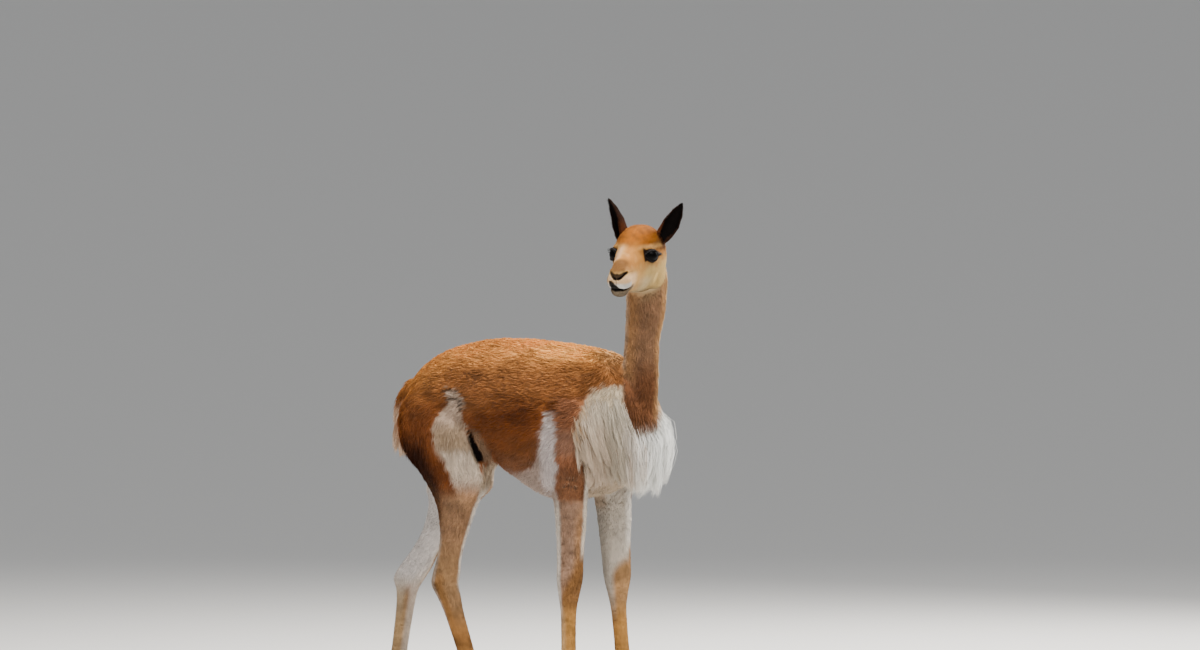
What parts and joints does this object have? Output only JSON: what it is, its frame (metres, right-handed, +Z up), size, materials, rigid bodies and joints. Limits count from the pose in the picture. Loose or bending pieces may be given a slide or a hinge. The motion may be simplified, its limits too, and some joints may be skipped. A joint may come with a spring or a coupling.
{
  "type": "vicuna figure",
  "caption": "Life-size still model of a vicuna that stands square on its feet with its head turned to its right.",
  "frame": {"origin": "centre of the bounding box's bottom face, at floor level", "axes": "+X the way the body faces, +Y the animal's left, +Z up"},
  "size_m": [0.9357, 0.3678, 1.1805],
  "materials": {
    "cinnamon": "short cinnamon fleece",
    "fawn": "short fawn fleece",
    "ivory": "long ivory hair",
    "dark_ear": "short dark brown hair",
    "eye": "glossy black model eye",
    "nail": "satin dark horn"
  },
  "bodies": {
    "root": {"chest": "ivory", "ear_left": "dark_ear", "ear_right": "dark_ear", "eye_left": "eye", "eye_right": "eye", "forefoot_left": "fawn", "forefoot_right": "fawn", "forenail_left_left": "nail", "forenail_left_right": "nail", "forenail_right_left": "nail", "forenail_right_right": "nail", "head": "fawn", "hindfoot_left": "fawn", "hindfoot_right": "fawn", "hindnail_left_left": "nail", "hindnail_left_right": "nail", "hindnail_right_left": "nail", "hindnail_right_right": "nail", "lower_foreleg_left": "fawn", "lower_foreleg_right": "fawn", "lower_hindleg_left": "fawn", "lower_hindleg_right": "fawn", "neck": "fawn", "tail": "ivory", "torso": "cinnamon", "upper_foreleg_left": "fawn", "upper_foreleg_right": "fawn", "upper_hindleg_left": "fawn", "upper_hindleg_right": "fawn"}
  },
  "joints": []
}
